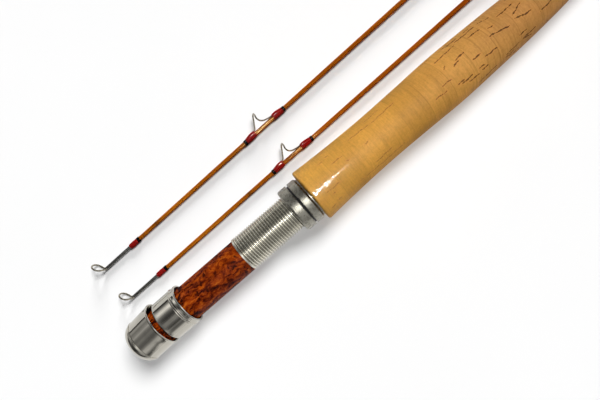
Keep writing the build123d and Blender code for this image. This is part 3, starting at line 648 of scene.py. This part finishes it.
pit_colour = blend_colour(tree, farther, (0.36, 0.150, 0.030, 1), (0.105, 0.045, 0.014, 1))
colour = blend_colour(tree, hollow, colour, pit_colour)
relief = arithmetic(tree, "MULTIPLY_ADD", grains, 0.25, arithmetic(tree, "MULTIPLY", hollow, -1.0))
relief = arithmetic(tree, "MULTIPLY_ADD", lines, 0.10, relief)
bump = add_node(tree, "ShaderNodeBump", (0.45, 0.00025))
tree.links.new(relief, bump.inputs["Height"])
rough = arithmetic(tree, "MULTIPLY_ADD", grains, 0.25, 0.42)
rubbed = add_node(tree, "ShaderNodeTexNoise", (laid_back.outputs[0], None, 560.0, 3.0)).outputs[0]
by_heel = ramp(tree, arithmetic(tree, "MULTIPLY", along, 1 / GRIP_LENGTH), ((0.06, 1.0), (0.13, 0.0)))
sealed = arithmetic(tree, "MULTIPLY_ADD", arithmetic(tree, "MULTIPLY", by_heel, ramp(
    tree, rubbed, ((0.40, 0.0), (0.52, 1.0)))), 0.17, 0.005)
uneven_seal = add_node(tree, "ShaderNodeBump", (1.0, 0.00016))
tree.links.new(rubbed, uneven_seal.inputs["Height"])
glossy_finish(tree, colour, bump.outputs[0], Roughness=rough, Specular_IOR_Level=0.02,
              Coat_Weight=arithmetic(tree, "MULTIPLY", arithmetic(tree, "SUBTRACT", 1.0, hollow), sealed),
              Coat_Roughness=0.10, Coat_Normal=uneven_seal.outputs[0])
fit(grip, butt_place, "butt_section", [f"cork_ring_{number:02d}" for number in range(1, RINGS + 1)], "cork", cork)

# ---- Cane sections ------------------------------------------------------------------------------------------------
# Six strips of flamed bamboo glued to a tapering hexagon and varnished.  Fine fibres run the whole
# length, darker where the strips meet, and a faint node shows here and there.


def lay_matrix(mount_name, distance, roll):
    """Where a section lies: its start, and the turn from its own +X line to its resting line."""
    axis = Vector(mounts[mount_name]["axis"]).normalized()
    start = Vector(mounts[mount_name]["pos_m"]) - axis * distance
    turn = Matrix.Rotation(math.atan2(axis.y, axis.x), 4, "Z") @ Matrix.Rotation(-math.asin(axis.z), 4, "Y")
    return Matrix.Translation(start) @ turn @ Matrix.Rotation(roll, 4, "X")


TIP_ROLL = math.radians(38.0)
tip_places = {side: lay_matrix(f"male_ferrule_{side}", 1.146 - 0.01275, TIP_ROLL) for side in "ab"}


def lengthwise_group():
    """Turns a section's resting place back to its own line: gives the laid-back point, the
    distance along it and the turn round it, for grain and thread that follow the section."""
    group = bpy.data.node_groups.new("along_the_section", "ShaderNodeTree")
    for name in ("Lay", "Start"):
        group.interface.new_socket(name, in_out="INPUT", socket_type="NodeSocketVector")
    group.interface.new_socket("Own_Place", in_out="OUTPUT", socket_type="NodeSocketVector")
    for name in ("Along", "Round"):
        group.interface.new_socket(name, in_out="OUTPUT", socket_type="NodeSocketFloat")
    start, end = group.nodes.new("NodeGroupInput"), group.nodes.new("NodeGroupOutput")
    place = add_node(group, "ShaderNodeTexCoord").outputs["Object"]
    back = add_node(group, "ShaderNodeMapping", (place,), vector_type="TEXTURE")
    group.links.new(start.outputs["Start"], back.inputs["Location"])
    group.links.new(start.outputs["Lay"], back.inputs["Rotation"])
    split = add_node(group, "ShaderNodeSeparateXYZ", (back.outputs[0],))
    group.links.new(back.outputs[0], end.inputs["Own_Place"])
    group.links.new(split.outputs[0], end.inputs["Along"])
    group.links.new(arithmetic(group, "ARCTAN2", split.outputs[1], split.outputs[2]), end.inputs["Round"])
    return group


along_the_section = lengthwise_group()


def own_line(tree, place):
    """The lengthwise group set for a section laid at a place."""
    made = add_node(tree, "ShaderNodeGroup", node_tree=along_the_section)
    made.inputs["Lay"].default_value = place.to_euler()
    made.inputs["Start"].default_value = place.translation
    return made.outputs


def varnished_cane(name, place, pale, deep, node_spacing, first_node):
    """Bamboo under varnish for the section at a place; nodes fall at a regular spacing along it."""
    made, tree = new_material(name)
    line = own_line(tree, place)
    drawn = add_node(tree, "ShaderNodeMapping", (line["Own_Place"], None, None, (0.016, 1.0, 1.0)))
    fibres = add_node(tree, "ShaderNodeTexNoise", (drawn.outputs[0], None, 3200.0, 3.0, 0.6)).outputs[0]
    broad = add_node(tree, "ShaderNodeMapping", (line["Own_Place"], None, None, (0.12, 1.0, 1.0)))
    flame = add_node(tree, "ShaderNodeTexNoise", (broad.outputs[0], None, 260.0, 3.0)).outputs[0]
    body = ramp(tree, flame, ((0.28, deep), (0.72, pale)))
    dark = ramp(tree, fibres, ((0.34, 0.70), (0.46, 0.90), (0.60, 0.98), (0.74, 1.04)))
    colour = blend_colour(tree, 0.9, body, dark, "MULTIPLY")
    aged = ramp(tree, arithmetic(tree, "MULTIPLY", line["Along"], 4.0), (
        (0.20, (1.0, 1.0, 1.0)), (0.50, (0.98, 0.92, 0.9)), (1.0, (0.80, 0.62, 0.5))))
    colour = blend_colour(tree, 1.0, colour, aged, "MULTIPLY")
    sixth = arithmetic(tree, "FRACT", arithmetic(tree, "MULTIPLY_ADD", line["Round"], 6 / (2 * math.pi), 0.5))
    joint = arithmetic(tree, "ABSOLUTE", arithmetic(tree, "SUBTRACT", sixth, 0.5))
    glue = ramp(tree, joint, ((0.46, 1.0), (0.495, 0.55)))
    colour = blend_colour(tree, 0.8, colour, glue, "MULTIPLY")
    step = arithmetic(tree, "FRACT", arithmetic(tree, "MULTIPLY_ADD", line["Along"], 1 / node_spacing,
                                                -first_node / node_spacing + 0.5))
    apart = arithmetic(tree, "MULTIPLY", arithmetic(tree, "ABSOLUTE", arithmetic(tree, "SUBTRACT", step, 0.5)),
                       node_spacing / 0.004, clamp=True)
    colour = blend_colour(tree, ramp(tree, apart, ((0.0, 0.75), (0.35, 0.25), (1.0, 0.0))), colour,
                          (0.11, 0.035, 0.006, 1))
    bump = add_node(tree, "ShaderNodeBump", (0.12, 0.0001))
    tree.links.new(fibres, bump.inputs["Height"])
    glossy_finish(tree, colour, bump.outputs[0], Roughness=arithmetic(tree, "MULTIPLY_ADD", fibres, 0.06, 0.05),
                  Specular_IOR_Level=0.0065, Specular_Tint=(1.0, 0.78, 0.34, 1.0))
    return made


PALE_CANE, DEEP_CANE = (0.60, 0.175, 0.008), (0.34, 0.075, 0.002)
frame["nodes"]["butt_cane"].data.materials[0] = varnished_cane(
    "butt_bamboo", butt_place, PALE_CANE, DEEP_CANE, 0.225, 0.452)
for side, first in (("a", 0.290), ("b", 0.248)):
    frame["nodes"][f"tip_cane_{side}"].data.materials[0] = varnished_cane(
        f"tip_bamboo_{side}", tip_places[side], PALE_CANE, DEEP_CANE, 0.215, first)

# ---- Silk wraps and tipping ------------------------------------------------------------------------------------------
# Red silk wound thread by thread over the guide feet, edged by a few turns of black, and sealed
# with varnish that rounds each wrap off.


def wound_silk(name, place, dark, light, gloss):
    """Silk thread round the section at a place: fine turns under a rounded coat of varnish."""
    made, tree = new_material(name)
    line = own_line(tree, place)
    uneven = add_node(tree, "ShaderNodeTexNoise", (line["Own_Place"], None, 300.0, 2.0)).outputs[0]
    turns = arithmetic(tree, "SINE", arithmetic(tree, "MULTIPLY_ADD", uneven, 0.8, arithmetic(
        tree, "MULTIPLY", line["Along"], 2 * math.pi / 0.00016)))
    lay = arithmetic(tree, "MULTIPLY_ADD", turns, 0.5, 0.5)
    blot = add_node(tree, "ShaderNodeTexNoise", (line["Own_Place"], None, 900.0, 3.0)).outputs[0]
    tone = arithmetic(tree, "MULTIPLY_ADD", lay, 0.35, arithmetic(tree, "MULTIPLY", blot, 0.65))
    colour = ramp(tree, tone, ((0.22, dark), (0.62, light)))
    bump = add_node(tree, "ShaderNodeBump", (0.20, 0.00004))
    tree.links.new(lay, bump.inputs["Height"])
    glossy_finish(tree, colour, bump.outputs[0], Roughness=arithmetic(tree, "MULTIPLY_ADD", blot, 0.25, 0.40),
                  Specular_IOR_Level=0.0, Coat_Weight=gloss, Coat_Roughness=0.06, Coat_IOR=2.0)
    return made


section_places = {"butt": butt_place, **tip_places}
red_silk = {label: wound_silk(f"red_silk_{label}", place, (0.130, 0.0016, 0.0010), (0.380, 0.0090, 0.0060), 0.065)
            for label, place in section_places.items()}
black_silk = {label: wound_silk(f"black_silk_{label}", place, (0.002, 0.0015, 0.0012), (0.008, 0.0055, 0.0045), 0.006)
              for label, place in section_places.items()}
BUTT_TAPER = ((281.2, 8.4), (700.0, 7.5), (1100.0, 6.1))
TIP_TAPER = ((17.5, 1.64), (180.0, 1.95), (1096.0, 5.1))
GAP_HALF, WRAP_LENGTH, TIPPING_LENGTH = 5.65, 5.8, 1.35
SILK, VARNISH, FOOT_THICK = 0.20, 0.14, 0.72


def flats(taper, along):
    """Width of the cane across its flats."""
    k = 0 if along <= taper[1][0] else 1
    (xa, a), (xb, b) = taper[k], taper[k + 1]
    return a + (b - a) * (along - xa) / (xb - xa)


def wound(name, taper, down, start, end, near=None, foot=FOOT_THICK):
    """One wrap of thread from start to end; near is the end where a guide foot stands thickest,
    and down the side that lies on the table, where the varnish stays thin."""
    shares = (0.0, 0.0, 0.03, 0.09, 0.25, 0.45, 0.65, 0.85, 0.95, 0.985, 1.0, 1.0)
    sinks = (0.35, 0.10, 0.03, 0.0, 0.0, 0.0, 0.0, 0.0, 0.0, 0.04, 0.11, 0.35)
    stations = []
    for share, sink in zip(shares, sinks):
        along = start + share * (end - start)
        sag = 0.004 * (end - start) ** 2 * (2 * share - 1) ** 2
        stations.append((along, 0.5 * flats(taper, along) * 1.06 + SILK + 0.02 - min(sag, 0.14) - sink))
    made = turned(name, stations, sides=28, crease=60)
    for vertex in made.data.vertices:
        along, out = vertex.co.x / MM, vertex.co.y / MM
        reach = math.hypot(out, vertex.co.z / MM)
        under = max(0.0, (vertex.co.y * down.y + vertex.co.z * down.z) / MM / reach)
        hump = VARNISH * (1.0 - under) if reach > 0.5 * flats(taper, along) else 0.0
        if near is not None:
            far = abs(along - near) / (end - start)
            hump += foot * (1.0 - 0.65 * min(1.0, far)) * max(0.0, out / reach) ** 3
            hump += 0.20 * math.exp(-((far - 0.42) / 0.30) ** 2) * max(0.0, out / reach)
        grown = (reach + hump) / reach
        vertex.co.y *= grown
        vertex.co.z *= grown
    return made


def joined(parts, name):
    """Joins parts into one piece."""
    bpy.ops.object.select_all(action="DESELECT")
    for part in parts:
        part.select_set(True)
    bpy.context.view_layer.objects.active = parts[0]
    bpy.ops.object.join()
    parts[0].name = name
    return parts[0]


def wind_section(label, taper, place, body, guides, plain, red, black):
    """Winds all of a section: guides are (x, gap, wrap length, foot), plain wraps (start, end)."""
    down = place.to_3x3().inverted() @ Vector((0, 0, -1))
    reds, blacks = [], []
    for x, gap, length, foot in guides:
        for side in (-1, 1):
            near, far = x + side * gap, x + side * (gap + length)
            edge = far + side * TIPPING_LENGTH
            reds.append(wound("wrap", taper, down, min(near, far), max(near, far), near, foot))
            blacks.append(wound("edge", taper, down, min(far, edge), max(far, edge)))
    for start, end, side in plain:
        reds.append(wound("wrap", taper, down, start, end))
        edge = (end, end + TIPPING_LENGTH) if side > 0 else (start - TIPPING_LENGTH, start)
        blacks.append(wound("edge", taper, down, *edge))
    red_node = "butt_silk_wraps" if label == "butt" else f"silk_wraps_{label}"
    black_node = "butt_tipping" if label == "butt" else f"tipping_{label}"
    fit(joined(reds, f"red_wraps_{label}"), place, body, [red_node], "red_silk", red)
    fit(joined(blacks, f"black_edges_{label}"), place, body, [black_node], "black_silk", black)


TIP_GUIDES = tuple(zip((102.8, 236.0, 374.0, 520.0, 675.0, 840.0, 1015.0), (1.0, 1.0, 1.02, 1.04, 1.08, 1.12, 1.145)))
BUTT_GUIDES = ((1062.0, 1.2), (846.0, 1.25))
STRIPPER_X, KEEPER_X = 646.0, 318.0
tip_wraps = [(x, GAP_HALF * size, WRAP_LENGTH * size, FOOT_THICK) for x, size in TIP_GUIDES]
butt_wraps = [(x, GAP_HALF * size, WRAP_LENGTH * size, FOOT_THICK) for x, size in BUTT_GUIDES]
butt_wraps += [(STRIPPER_X, 9.0, 12.8, 0.8), (KEEPER_X, 4.0, 6.0, FOOT_THICK)]
for side in "ab":
    wind_section(side, TIP_TAPER, tip_places[side], f"tip_{side}", tip_wraps,
                 [(16.0, 20.7, 1), (1082.0, 1096.0, -1)], red_silk[side], black_silk[side])
wind_section("butt", BUTT_TAPER, butt_place, "butt_section", butt_wraps,
             [(284.4, 293.4, 1), (1084.0, 1100.0, -1)], red_silk["butt"], black_silk["butt"])

# ---- Snake guides and hook keeper ------------------------------------------------------------------------
# Each snake guide is one piece of bright hard wire: a ground foot, a full turn standing over the
# cane, and the other foot.  The keeper is a low bridge of the same wire in front of the grip.


def metal_wire(name, dark, light, roughness):
    """Drawn wire: bright, with fine lengthwise smears and handling marks."""
    made, tree = new_material(name)
    place = add_node(tree, "ShaderNodeTexCoord").outputs["Object"]
    smear = add_node(tree, "ShaderNodeTexNoise", (place, None, 1400.0, 3.0)).outputs[0]
    bump = add_node(tree, "ShaderNodeBump", (0.06, 0.00005))
    tree.links.new(smear, bump.inputs["Height"])
    glossy_finish(tree, ramp(tree, smear, ((0.3, dark), (0.7, light))), bump.outputs[0], Metallic=1.0,
                  Roughness=arithmetic(tree, "MULTIPLY_ADD", smear, 0.15, roughness))
    return made


def bent_wire(name, points, thickness, thin=()):
    """Wire of a thickness bent through points in mm; thin gives the first and last points' shares."""
    bpy.ops.object.select_all(action="DESELECT")
    bpy.ops.curve.primitive_bezier_curve_add(location=(0, 0, 0))
    drawn = bpy.context.object
    drawn.name = name
    spline = drawn.data.splines[0]
    spline.bezier_points.add(len(points) - 2)
    for knot, point in zip(spline.bezier_points, points):
        knot.co = Vector(point) * MM
        knot.handle_left_type = knot.handle_right_type = "AUTO"
        knot.radius = 1.0
    for number, share in thin:
        spline.bezier_points[number].radius = share
    drawn.data.dimensions = "3D"
    drawn.data.bevel_depth = 0.5 * thickness * MM
    drawn.data.bevel_resolution = 2
    drawn.data.resolution_u = 8
    drawn.data.use_fill_caps = True
    bpy.ops.object.convert(target="MESH")
    bent = bpy.context.object
    bpy.ops.object.mode_set(mode="EDIT")
    bpy.ops.mesh.select_all(action="SELECT")
    bpy.ops.mesh.normals_make_consistent(inside=False)
    bpy.ops.object.mode_set(mode="OBJECT")
    bpy.ops.object.shade_smooth_by_angle(angle=math.radians(60))
    return bent


WIRE = 0.80
SNAKE_PATH = ((-5.65, 0.0, 0.44), (-3.1, -1.5, 2.95), (-0.75, -2.9, 5.95), (-0.35, 0.0, 6.9),
              (-0.75, 2.75, 5.6), (0.4, 2.3, 3.35), (3.0, 1.0, 1.45), (5.65, 0.0, 0.44))
guide_wire = metal_wire("bright_guide_wire", (0.20, 0.18, 0.135), (0.46, 0.42, 0.34), 0.13)


def snake(name, taper, x, size):
    """A snake guide standing on the cane's flat at x."""
    flat = flats(taper, x) / 2
    foot = (GAP_HALF + WRAP_LENGTH - 0.8) * size
    points = [(x - foot, flat + 0.16, 0.0), (x - GAP_HALF * size - 0.9, flat + 0.36, 0.0)]
    points += [(x + along * size, flat + up * size, over * size) for along, over, up in SNAKE_PATH]
    points += [(x + GAP_HALF * size + 0.9, flat + 0.36, 0.0), (x + foot, flat + 0.16, 0.0)]
    return bent_wire(name, points, WIRE, ((0, 0.35), (1, 0.85), (-2, 0.85), (-1, 0.35)))


for side in "ab":
    for number, (x, size) in enumerate(TIP_GUIDES, 1):
        node = f"snake_guide_{number}_{side}"
        guide = snake(f"bent_guide_{number}_{side}", TIP_TAPER, x, size)
        fit(guide, tip_places[side], f"tip_{side}", [node], "guide_wire", guide_wire)
for number, (x, size) in enumerate(BUTT_GUIDES, 1):
    guide = snake(f"butt_bent_guide_{number}", BUTT_TAPER, x, size)
    fit(guide, butt_place, "butt_section", [f"butt_snake_guide_{number}"], "guide_wire", guide_wire)
keeper_flat = flats(BUTT_TAPER, KEEPER_X) / 2
keeper = bent_wire("keeper_bridge", [(KEEPER_X + along, keeper_flat + up, 0.0) for along, up in (
    (-9.0, 0.16), (-5.0, 0.36), (-4.0, 0.45), (-2.6, 2.2), (0.0, 3.4), (2.6, 2.2), (4.0, 0.45), (5.0, 0.36),
    (9.0, 0.16))], WIRE, ((0, 0.35), (1, 0.85), (-2, 0.85), (-1, 0.35)))
fit(keeper, butt_place, "butt_section", ["hook_keeper"], "guide_wire", guide_wire)

# ---- Tiptops ---------------------------------------------------------------------------------------------------
# A short steel tube cemented over the thin end of the cane, closed at the nose, with a pear-shaped
# wire loop silver-soldered into it and leaning towards the guides' side.

tiptop_steel = metal_wire("tiptop_steel", (0.055, 0.053, 0.047), (0.19, 0.183, 0.170), 0.14)
TUBE_R, TUBE_LENGTH, LOOP_LENGTH, LOOP_HALF_WIDTH = 0.78, 17.5, 6.3, 2.35
LOOP_BEND = math.radians(63.0)
pear = ((0.06, 0.24), (0.32, 0.70), (0.62, 1.0), (0.88, 0.72))
half = [(0.8, 0.0, 0.45)] + [(-along * LOOP_LENGTH * math.cos(LOOP_BEND), along * LOOP_LENGTH * math.sin(LOOP_BEND),
                              side * LOOP_HALF_WIDTH) for along, side in pear]
crown = (-LOOP_LENGTH * math.cos(LOOP_BEND), LOOP_LENGTH * math.sin(LOOP_BEND), 0.0)
loop_points = half + [crown] + [(x, y, -z) for x, y, z in reversed(half)]
for side in "ab":
    barrel = turned(f"tiptop_barrel_{side}", [
        (0.0, 0.0), (0.0, 0.52), (0.12, 0.68), (0.35, TUBE_R - 0.02), (0.7, TUBE_R), (TUBE_LENGTH - 0.3, TUBE_R),
        (TUBE_LENGTH - 0.08, TUBE_R - 0.04), (TUBE_LENGTH, TUBE_R - 0.12), (TUBE_LENGTH, 0.6), (2.5, 0.6), (2.5, 0.0)],
        sides=32)
    fit(barrel, tip_places[side], f"tip_{side}", [f"tiptop_tube_{side}"], "tiptop_steel", tiptop_steel)
    loop = bent_wire(f"tiptop_ring_{side}", loop_points, 0.84)
    fit(loop, tip_places[side], f"tip_{side}", [f"tiptop_loop_{side}"], "guide_wire", guide_wire)

# ---- Stripping guide ---------------------------------------------------------------------------------------
# The largest guide carries the line in from the reel: a nickel silver bezel on three struts, with
# a polished ring of banded agate set in it.

for node in ("stripping_guide_frame",):
    frame["nodes"][node].data.materials[0] = guide_wire
agate, tree = new_material("polished_agate")
place = add_node(tree, "ShaderNodeTexCoord").outputs["Object"]
bands = add_node(tree, "ShaderNodeTexNoise", (place, None, 420.0, 4.0)).outputs[0]
glossy_finish(tree, ramp(tree, bands, ((0.35, (0.20, 0.030, 0.006)), (0.5, (0.42, 0.11, 0.02)),
                                       (0.7, (0.62, 0.30, 0.10)))),
              Roughness=arithmetic(tree, "MULTIPLY_ADD", bands, 0.1, 0.08), Coat_Weight=0.6, Coat_Roughness=0.05)
frame["nodes"]["stripping_guide_ring"].data.materials[0] = agate

# ---- Ferrules and winding check -----------------------------------------------------------------------------
# Nickel silver ferrules turned to a sliding fit join the sections, and a turned ring closes the
# front of the grip round the cane.

for node in ("female_ferrule", "male_ferrule_a", "male_ferrule_b", "winding_check"):
    frame["nodes"][node].data.materials[0] = polished
